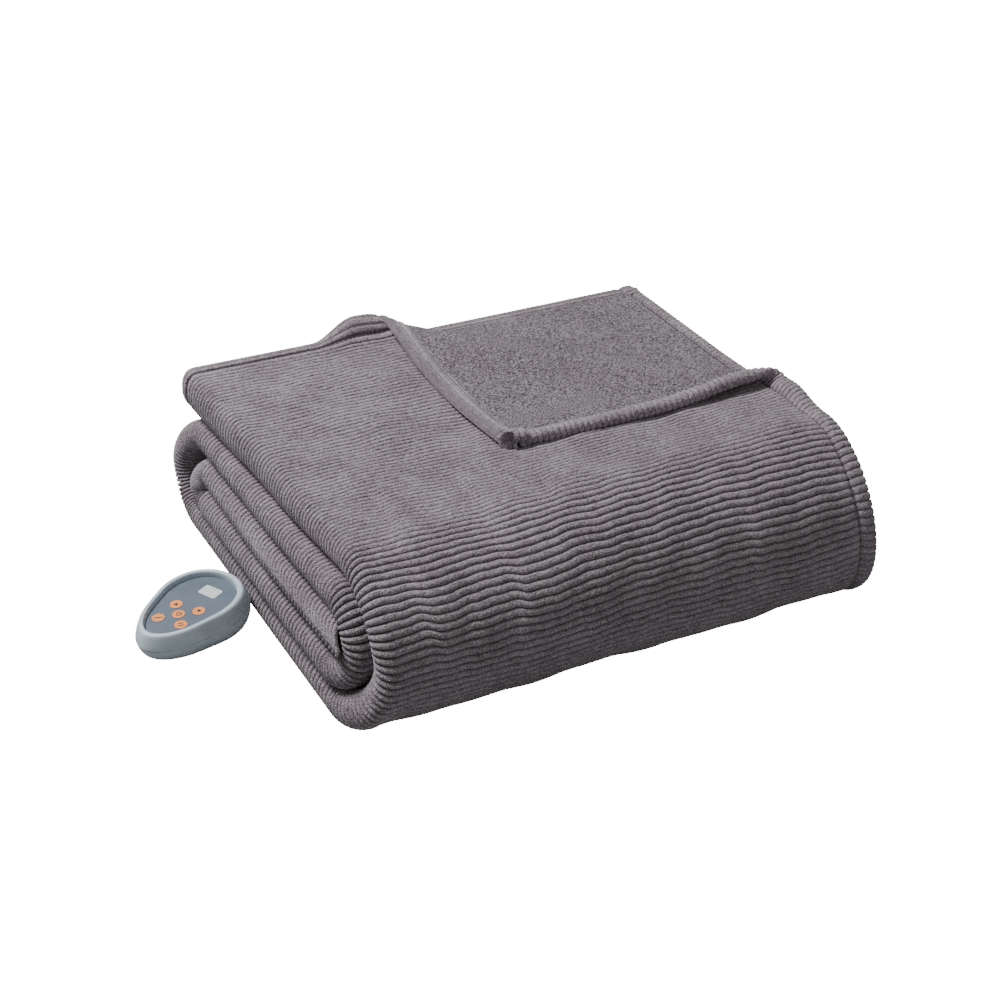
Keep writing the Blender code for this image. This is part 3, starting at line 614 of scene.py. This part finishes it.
cornerRib = findCornerRib()
firstRib = 1.25 * hem["width"] / ribPitch       # clear of the back hem
backRibs = 7                # how far forward the other layers' ribs show from behind
secondEnd = 58.0            # and the second sheet from the front
turnRib = roll[2]["first"]
frontEnd = turnRib + 3      # where the top's pieces end, under the front turn
fleeceInset = hem["fleeceSide"] * hem["across"]
secondInset = hem["fleeceSide"] * hem["second"]
fleeceRib = hem["fleeceSide"] * hem["turned"] / ribPitch
foldStart = 0.006           # share of the width where a round fold starts


def addTop(plush):
    fold = leftFold(outerLayer, 14, 1) + span(0.03, 0.12, 5, -outerLayer, -1.0)
    back = hemRows() + ribRows(firstRib, cornerRib, 8)
    front = ribRows(cornerRib, frontEnd, 8)
    main = span(1.0, foldStart, 132, outerLayer, 1.0)
    clothPiece("topBack", [clothPoints(main + fold, back, squeezed=True)], plush)
    main = hemColumns(outerLayer, 1.0) + span(1 - hem["reach"] / foldWidth, foldStart, 124, outerLayer, 1.0)
    clothPiece("topFront", [clothPoints(main + fold, front)], plush)
    under = [column(1 + share, 0.0, outerLayer, 0.0, 1.0) for share in reversed(closerAtStart(48, 0.25))]
    under = hemColumns(outerLayer, 1.0, share=2.0) + under
    clothPiece("cornerRibs", [clothPoints(under, back, squeezed=True)], plush)


def addCornerFleece(fleece):
    columns = [column(1 + share, share * (hem["reach"] - fleeceInset), outerLayer, 0.0, 1.0, -halfSheet)
               for share in closerAtStart(110, 0.4)]
    rows = fleeceRows(fleeceRib, cornerRib, 0.36)
    clothPiece("cornerFleece", [clothPoints(columns, rows, squeezed=True)], fleece)


def addLeftEnds(plush):     # the round folds that show between the passes
    ends = span(0.13, foldStart, 8, outerLayer, 1.0) + leftFold(outerLayer, 14, 1)
    ends += span(foldStart, 0.13, 8, -outerLayer, -1.0)
    bottomEnd, backEnd = roll[3]["first"], roll[4]["first"]
    clothPiece("innerPasses", [clothPoints(ends, ribRows(backEnd, allRibs, 6))], plush)
    rows = ribRows(frontEnd, backEnd, 6)
    columns = span(1.0, 0.14, 40, outerLayer, 1.0) + ends
    bottom = [row for row in rows if row[0] <= bottomEnd]
    back = [row for row in rows if row[0] >= bottomEnd - 0.01]
    clothPiece("bottomAndBack", [clothPoints(columns, bottom), clothPoints(columns, back)], plush)


def addRightEnds(plush):        # hems and inner folds at the right
    rows = ribRows(firstRib, allRibs - firstRib, 4)
    edged = rows + [(allRibs - rib, offset, 0.0, shade) for rib, offset, inset, shade in reversed(hemRows())]
    outer = hemColumns(outerLayer, 1.0) + span(0.95, 0.9, 2, outerLayer, 1.0)
    fold = span(0.9, 0.97, 3, -outerLayer, -1.0) + rightFold(8) + span(0.97, 0.9, 3, -innerLayer, 1.0)
    inner = hemColumns(innerLayer, -1.0, "second") + span(0.94, 0.90, 2, innerLayer, -1.0)
    grids = [clothPoints(outer, [row for row in edged if row[0] > frontEnd]), clothPoints(fold, rows),
             clothPoints(inner, [row for row in edged if row[0] >= backRibs])]
    clothPiece("rightEnds", grids, plush)


def addFreeHems(plush):     # the other layers' hems at the back of the top
    rows = hemRows() + ribRows(firstRib, backRibs, 2)
    second = hemColumns(innerLayer, -1.0, "second") + span(0.94, 0.02, 60, innerLayer, -1.0)
    third = span(0.97, 0.02, 30, -innerLayer, 1.0)
    lowest = span(0.02, 0.97, 30, -outerLayer, -1.0)
    clothPiece("freeHems", [clothPoints(columns, rows) for columns in (second, third, lowest)], plush)


def addFleece(fleece):      # the whole of the other face
    own = -halfSheet
    columns = [column(1.0, -fleeceInset, outerLayer, 0.0, 1.0, own)]
    columns += span(0.96, foldStart, 24, outerLayer, 1.0, own) + leftFold(outerLayer, 10, 1, own)
    columns += span(0.03, 0.97, 20, -outerLayer, -1.0, own) + rightFold(6, own)
    columns += span(0.97, 0.03, 20, -innerLayer, 1.0, own) + leftFold(innerLayer, 6, -1, own)[::-1]
    second = span(0.03, 0.96, 60, innerLayer, -1.0, own)
    second.append(column(1.0, -secondInset, innerLayer, 0.0, -1.0, own))
    rows = fleeceRows(fleeceRib, allRibs - 2, 1.0)
    clothPiece("insideFleece", [clothPoints(columns + second[:1], rows, squeezed=True)[:, ::-1]], fleece)
    parts = (fleeceRows(fleeceRib, secondEnd, 0.6), fleeceRows(secondEnd, allRibs - 2, 1.0))
    clothPiece("secondSheet", [clothPoints(second, rows)[:, ::-1] for rows in parts], fleece)


thread = {"stitch": 0.0036, "gap": 0.0014, "radius": 0.00050, "onRibs": 0.40, "onFleece": -0.62, "step": 0.2,
          "columns": 400}


def seamLine(columns, rows, squeezed=False):       # a line through the cloth and the way across it
    places = clothPoints(columns, rows, squeezed)[..., :3]
    if len(rows) > len(columns):
        places = places.swapaxes(0, 1)
    return places[0], places[1] - places[0]


def stitchParts(line, side):
    steps = np.linalg.norm(np.diff(line, axis=0), axis=-1)
    places = np.concatenate(([0], np.cumsum(steps)))
    parts = []
    start = 0.0
    while start + thread["stitch"] < places[-1]:
        spots = start + thread["stitch"] * np.array((0.0, 0.06, 0.3, 0.7, 0.94, 1.0))
        middle = np.stack([np.interp(spots, places, line[:, k]) for k in range(3)], axis=-1)
        across = np.array([np.interp(start, places, side[:, k]) for k in range(3)])
        run = middle[-1] - middle[0]
        run = run / np.linalg.norm(run)
        up = np.cross(run, across)
        up = up / np.linalg.norm(up)
        out = np.cross(up, run)
        size = thread["radius"] * np.array((0.05, 0.7, 1.0, 1.0, 0.7, 0.05))[:, None, None]
        turn = np.radians(np.arange(0, 361, 60))[None, :, None]
        ring = middle[:, None] + size * (np.cos(turn) * out + np.sin(turn) * up)
        parts.append(gridParts(np.pad(ring, ((0, 0), (0, 0), (0, 1)))))
        start += thread["stitch"] + thread["gap"]
    return parts


def addStitches(material):
    onRibs, onFleece = thread["onRibs"] * hem["puff"], thread["onFleece"] * hem["puff"]
    lines = []
    for share, inset, height, normal, own, first, last in (      # seams across the ribs
            (2.0, hem["across"], outerLayer, 1.0, onFleece, fleeceRib, cornerRib),
            (1.0, hem["second"], innerLayer, -1.0, onFleece, fleeceRib, secondEnd),
            (1.0, hem["width"], outerLayer, 1.0, onRibs, cornerRib, turnRib)):
        shifts = [(hem["reach"] if share > 1 else 0) - inset * part for part in (1.0, 1.1)]
        columns = [column(share, dx, height, 0.0, normal, own, ribbed=0.0) for dx in shifts]
        rows = [(rib, 0.0, 0.0, 0.0) for rib in np.arange(first, last, thread["step"])]
        lines.append(seamLine(columns, rows, share > 1))
    for inset, offset, height, normal, first, last, squeezed in (      # and along them
            (hem["turned"], onFleece, outerLayer, 1.0, 1.02, 1.94, True),
            (hem["turned"], onFleece, innerLayer, -1.0, 0.3, 0.97, False),
            (hem["width"], onRibs, outerLayer, 1.0, 0.02, 0.98, True)):
        own = halfSheet if offset > 0 else -halfSheet
        columns = span(first, last, thread["columns"], height, normal, own)
        rows = [(inset * part / ribPitch, offset, inset * part, 0.0) for part in (1.0, 1.1)]
        lines.append(seamLine(columns, rows, squeezed))
    joinCloth("stitches", [part for line, side in lines for part in stitchParts(line, side)], material)


# Finishes

# groove: how dark the painted shade leaves the colour at the bottom of a groove
naps = {
    "plush": {"dark": (0.158, 0.134, 0.152), "light": (0.478, 0.422, 0.462), "edges": (0.30, 0.72),
              "grain": 620.0, "clump": 0.30, "clumpSize": 4.5, "blotch": 21.0, "patch": 0.30, "bump": 0.0022,
              "strength": 0.85, "groove": 0.26},
    "fleece": {"dark": (0.044, 0.036, 0.042), "light": (0.348, 0.305, 0.335), "edges": (0.40, 0.60),
               "grain": 620.0, "clump": 0.14, "clumpSize": 2.0, "blotch": 14.0, "patch": 0.10, "bump": 0.0030,
               "strength": 1.0, "groove": 0.40},
}
lustre = {"Specular IOR Level": 0.15, "Sheen Weight": 0.35, "Sheen Roughness": 0.45,
          "Sheen Tint": (0.80, 0.74, 0.78, 1.0)}


def newMaterial(name, roughness):
    material = bpy.data.materials.new(name)
    material.use_nodes = True
    shader = material.node_tree.nodes["Principled BSDF"]
    shader.inputs["Roughness"].default_value = roughness
    return material, material.node_tree.nodes, material.node_tree.links, shader


def addNoise(nodes, links, place, scale, detail):
    noise = nodes.new("ShaderNodeTexNoise")
    noise.inputs["Scale"].default_value = scale
    noise.inputs["Detail"].default_value = detail
    links.new(place.outputs["Object"], noise.inputs["Vector"])
    return noise


def addMath(nodes, links, operation, first, second, third=None):
    node = nodes.new("ShaderNodeMath")
    node.operation = operation
    for socket, value in zip(node.inputs, (first, second, third)):
        if isinstance(value, (int, float)):
            socket.default_value = value
        elif value is not None:
            links.new(value, socket)
    return node.outputs["Value"]


def addRamp(nodes, links, value, stops):
    ramp = nodes.new("ShaderNodeValToRGB")
    while len(ramp.color_ramp.elements) < len(stops):
        ramp.color_ramp.elements.new(0.5)
    for element, (position, colour) in zip(ramp.color_ramp.elements, stops):
        element.position = position
        element.color = (*colour, 1.0)
    links.new(value, ramp.inputs["Fac"])
    return ramp.outputs["Color"]


def addBump(nodes, links, height, strength, distance, shader):
    bump = nodes.new("ShaderNodeBump")
    bump.inputs["Strength"].default_value = strength
    bump.inputs["Distance"].default_value = distance
    links.new(height, bump.inputs["Height"])
    links.new(bump.outputs["Normal"], shader.inputs["Normal"])


def napMaterial(name):      # speckled pile, lighter and darker where it was brushed, with painted shade between the ribs and a painted highlight on their crests
    nap = naps[name]
    material, nodes, links, shader = newMaterial(name + "Nap", 0.95)
    place = nodes.new("ShaderNodeTexCoord")
    grain = addNoise(nodes, links, place, nap["grain"], 2.5)
    blotch = addNoise(nodes, links, place, nap["blotch"], 3.0)
    clumps = addNoise(nodes, links, place, nap["grain"] / nap["clumpSize"], 2.0)
    grain, blotch, clumps = [noise.outputs["Fac"] for noise in (grain, blotch, clumps)]
    value = addMath(nodes, links, "MULTIPLY_ADD", blotch, nap["patch"], grain)
    value = addMath(nodes, links, "MULTIPLY_ADD", clumps, nap["clump"], value)
    value = addMath(nodes, links, "SUBTRACT", value, (nap["patch"] + nap["clump"]) / 2)
    low, high = nap["edges"]
    colour = addRamp(nodes, links, value, ((low, nap["dark"]), (high, nap["light"])))
    # painted highlight and shade: crests 1.12 times lighter, groove bottoms darkened to the nap's groove
    # value
    groove = nodes.new("ShaderNodeAttribute")
    groove.attribute_name = "groove"
    shade = addRamp(nodes, links, groove.outputs["Fac"],
                    ((0.0, (1.12, 1.12, 1.12)), (0.22, (1.0, 1.0, 1.0)), (1.0, (nap["groove"],) * 3)))
    mixed = nodes.new("ShaderNodeMix")
    mixed.data_type = "RGBA"
    mixed.blend_type = "MULTIPLY"
    mixed.inputs["Factor"].default_value = 1.0
    links.new(colour, mixed.inputs["A"])
    links.new(shade, mixed.inputs["B"])
    links.new(mixed.outputs["Result"], shader.inputs["Base Color"])
    pile = addMath(nodes, links, "MULTIPLY_ADD", clumps, 2 * nap["clump"], grain)
    addBump(nodes, links, pile, nap["strength"], nap["bump"], shader)
    for socket, value in lustre.items():
        shader.inputs[socket].default_value = value
    return material


finishes = {       # colour, roughness, how fine and deep its texture is, and how much lighter it has worn
    "thread": ((0.085, 0.074, 0.084), 0.7, 2600.0, 0.0001, 1.12),
    "shellPlastic": ((0.60, 0.71, 0.78), 0.42, 1500.0, 0.00012, 1.12),
    "panelPlastic": ((0.125, 0.160, 0.215), 0.50, 1500.0, 0.00010, 1.12),
    "keyRubber": ((1.0, 0.36, 0.115), 0.55, 1900.0, 0.00008, 1.12),
    "iconInk": ((0.022, 0.010, 0.010), 0.6, 1900.0, 0.00004, 1.12),
    "displayPlastic": ((0.80, 0.86, 0.87), 0.16, 900.0, 0.00002, 1.04),
    "glandRubber": ((0.10, 0.125, 0.15), 0.6, 1500.0, 0.0001, 1.12),
}
handled = {"smudge": 45.0, "edges": (0.30, 0.72), "dull": 0.94, "polish": (-0.06, 0.10), "bump": 0.35}


def mouldedMaterial(name):     # plastic, rubber or thread, a little uneven where it is handled
    colour, roughness, texture, relief, worn = finishes[name]
    material, nodes, links, shader = newMaterial(name, roughness)
    place = nodes.new("ShaderNodeTexCoord")
    grain = addNoise(nodes, links, place, texture, 4.0)
    smudge = addNoise(nodes, links, place, handled["smudge"], 3.0)
    tones = [tuple(share * value for value in colour) for share in (handled["dull"], worn)]
    tint = addRamp(nodes, links, smudge.outputs["Fac"], list(zip(handled["edges"], tones)))
    links.new(tint, shader.inputs["Base Color"])
    polish = nodes.new("ShaderNodeMapRange")
    polish.inputs["To Min"].default_value = roughness + handled["polish"][0]
    polish.inputs["To Max"].default_value = roughness + handled["polish"][1]
    links.new(smudge.outputs["Fac"], polish.inputs["Value"])
    links.new(polish.outputs["Result"], shader.inputs["Roughness"])
    addBump(nodes, links, grain.outputs["Fac"], handled["bump"], relief, shader)
    return material


plush = napMaterial("plush")
fleece = napMaterial("fleece")
addTop(plush)
addCornerFleece(fleece)
addLeftEnds(plush)
addRightEnds(plush)
addFreeHems(plush)
addFleece(fleece)
addStitches(mouldedMaterial("thread"))
print("the blanket is in")

# The controller: the same outline as the solid's, on finer steps

control = {
    "length": 0.1252, "width": 0.0912, "turn": math.radians(28.0), "tilt": math.radians(4.6),
    "place": Vector((-0.3315, 0.0086, 0.0)), "taper": 0.15, "blunt": 0.062, "sides": 144,
    "waist": 0.06, "waistAt": -0.3, "waistRun": 0.35, "baseTop": 0.0186, "panelTop": 0.0286,
}
baseLevels = (      # height and inset from the widest outline, up the outside
    (0.0, 0.0092), (0.0003, 0.0082), (0.0012, 0.0068), (0.0030, 0.0051), (0.0055, 0.0036), (0.0085, 0.0023),
    (0.0115, 0.0013), (0.0150, 0.0007), (0.0179, 0.0004), (0.0184, 0.0006), (0.0186, 0.0011),
    (0.0186, 0.0200),
)
coverLevels = (
    (0.0189, 0.0200), (0.0189, 0.0010), (0.0191, 0.0004), (0.0196, 0.0001), (0.0212, 0.0004),
    (0.0235, 0.0012), (0.0262, 0.0022), (0.0288, 0.0033), (0.0308, 0.0042), (0.0322, 0.0049),
    (0.0331, 0.0055), (0.0337, 0.0063), (0.0340, 0.0074), (0.0340, 0.0092), (0.0337, 0.0100),
    (0.0329, 0.0105), (0.0315, 0.0108), (0.0290, 0.0112), (0.0265, 0.0116), (0.0248, 0.0118),
)
keyShape = {
    "radius": 0.0062, "proud": 0.0006, "sides": 64, "bottom": 0.0263,
    "rim": ((0.0005, 0.0), (0.0002, 0.0001), (0.0, 0.0005), (0.0001, 0.0014), (0.0002, 0.0028),
            (0.00025, 0.00496)),       # below its top and in from its side
}
icon = {"size": 0.0024, "stroke": 0.0011, "height": 0.00026, "sunk": 0.00030, "taper": 0.8}
keys = (       # marks are in icon sizes: three points make a solid arrow, others a stroke
    {"body": "warmer", "along": -0.0030, "across": 0.0126,
     "marks": [[(-0.7, -1.0), (0.9, 0.0), (-0.7, 1.0)]]},
    {"body": "cooler", "along": 0.0005, "across": -0.0128,
     "marks": [[(0.7, 1.0), (-0.9, 0.0), (0.7, -1.0)]]},
    {"body": "power", "along": -0.0132, "across": 0.0,
     "marks": [[(math.cos(turn / 10), math.sin(turn / 10)) for turn in range(-24, 25, 3)],
               [(-1.3, 0.0), (-0.2, 0.0)]]},
    {"body": "timer", "along": -0.0275, "across": 0.0126, "marks": [[(-1.3, 1.3), (1.3, -1.3)]]},
    {"body": "preheat", "along": -0.0240, "across": -0.0128,
     "marks": [[(-1.4, 0.5), (0.6, -1.4)], [(-0.3, 1.3), (1.3, -0.2)]]},
)
window = {
    "length": 0.0142, "width": 0.0208, "along": 0.0294, "across": -0.0010, "corner": 0.0016,
    "levels": ((-0.0010, 0.0), (-0.0001, 0.0), (0.0001, 0.0002), (0.00015, 0.0006)),       # height and inset
}


def controlPoint(x, y, z, tilt=control["tilt"]):        # from the controller's own frame
    x, z = x * math.cos(tilt) - z * math.sin(tilt), x * math.sin(tilt) + z * math.cos(tilt)
    turn = control["turn"]
    return (control["place"].x + x * math.cos(turn) - y * math.sin(turn),
            control["place"].y + x * math.sin(turn) + y * math.cos(turn), z)


def eggPoint(inset, angle):
    forward = math.cos(angle)
    sideways = math.sin(angle) * (1 + control["taper"] * forward)
    waist = math.exp(-((forward - control["waistAt"]) / control["waistRun"]) ** 2)
    sideways *= 1 - control["waist"] * waist
    return ((control["length"] / 2 - inset) * (forward + control["blunt"] * math.sin(angle) ** 2),
            (control["width"] / 2 - inset) * sideways)


def ringPiece(name, rings, material, body="rest", replaced=None, caps=(True, True), sharp=40):
    sides = len(rings[0])
    points = [point for ring in rings for point in ring]
    faces = []
    for level in range(len(rings) - 1):
        for side in range(sides):
            after = (side + 1) % sides
            faces.append((level * sides + side, level * sides + after, (level + 1) * sides + after,
                          (level + 1) * sides + side))
    if caps[0]:
        faces.append(tuple(reversed(range(sides))))
    if caps[1]:
        faces.append(tuple(range(len(points) - sides, len(points))))
    mesh = bpy.data.meshes.new(name)
    mesh.from_pydata(points, [], faces)
    mesh.shade_smooth()
    mesh.set_sharp_from_angle(angle=math.radians(sharp))
    mesh.materials.append(material)
    piece = addObject(name, mesh)
    if replaced:
        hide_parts(replaced)
    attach(piece, body)


def eggRings(levels, levelFoot):
    angles = [2 * math.pi * side / control["sides"] for side in range(control["sides"])]
    rings = []
    for height, inset in levels:        # the base is level below and in the cover's plane above
        tilt = control["tilt"] * height / control["baseTop"] if levelFoot else control["tilt"]
        rings.append([controlPoint(*eggPoint(inset, angle), height, tilt) for angle in angles])
    return rings


def addKey(key, material):      # round key with a soft rim and a slight dish
    radius, top = keyShape["radius"], control["panelTop"] + keyShape["proud"]
    profile = [(keyShape["bottom"], radius)]
    profile += [(top - drop, radius - inset) for drop, inset in keyShape["rim"]]
    turns = [2 * math.pi * side / keyShape["sides"] for side in range(keyShape["sides"])]
    middle = key["along"], key["across"]
    rings = [[controlPoint(middle[0] + size * math.cos(turn), middle[1] + size * math.sin(turn), height)
              for turn in turns] for height, size in profile]
    ringPiece("key" + key["body"] + "Cap", rings, material, key["body"], "key_" + key["body"])


def strokeRings(path, base, top):       # a flat printed stroke along a path on a key
    rings = []
    for number, (x, y) in enumerate(path):
        before = path[max(number - 1, 0)]
        after = path[min(number + 1, len(path) - 1)]
        run = Vector((after[0] - before[0], after[1] - before[1])).normalized()
        side = Vector((-run.y, run.x)) * (icon["stroke"] / 2)
        outline = ((1, base), (-1, base), (-icon["taper"], top), (icon["taper"], top))
        rings.append([controlPoint(x + side.x * share, y + side.y * share, z) for share, z in outline])
    return rings


def addIcons(key, material):
    base = control["panelTop"] + keyShape["proud"] - icon["sunk"]
    top = base + icon["height"]
    for number, mark in enumerate(key["marks"]):
        path = [(key["along"] + x * icon["size"], key["across"] + y * icon["size"]) for x, y in mark]
        if len(path) == 3:
            rings = [[controlPoint(x, y, height) for x, y in path] for height in (base, top)]
        else:
            rings = strokeRings(path, base, top)
        ringPiece("icon" + key["body"].capitalize() + str(number + 1), rings, material, key["body"],
                  sharp=30)


def addWindow(material):        # a slab with round corners
    rings = []
    for lift, inset in window["levels"]:
        ring = []
        for step in range(36):
            quarter, part = divmod(step, 9)
            turn = math.pi / 2 * (quarter + part / 8)
            cornerX = (window["length"] / 2 - window["corner"]) * (1 if quarter in (0, 3) else -1)
            cornerY = (window["width"] / 2 - window["corner"]) * (1 if quarter in (0, 1) else -1)
            reach = window["corner"] - inset
            ring.append(controlPoint(window["along"] + cornerX + reach * math.cos(turn),
                                     window["across"] + cornerY + reach * math.sin(turn),
                                     control["panelTop"] + lift))
        rings.append(ring)
    ringPiece("displayWindow", rings, material, replaced="controller_window")


def addController():
    shell, panel, rubber, ink, display, gland = [mouldedMaterial(name) for name in (
        "shellPlastic", "panelPlastic", "keyRubber", "iconInk", "displayPlastic", "glandRubber")]
    ringPiece("baseShell", eggRings(baseLevels, True), shell, replaced="controller_base")
    ringPiece("coverShell", eggRings(coverLevels, False), shell, replaced="controller_cover",
              caps=(False, False))
    for node, finish in (("controller_panel", panel), ("lead_gland", gland)):
        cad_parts[node].data.materials.clear()
        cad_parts[node].data.materials.append(finish)
    for key in keys:
        addKey(key, rubber)
    for key in keys:
        addIcons(key, ink)
    addWindow(display)


addController()
print("the controller is in")
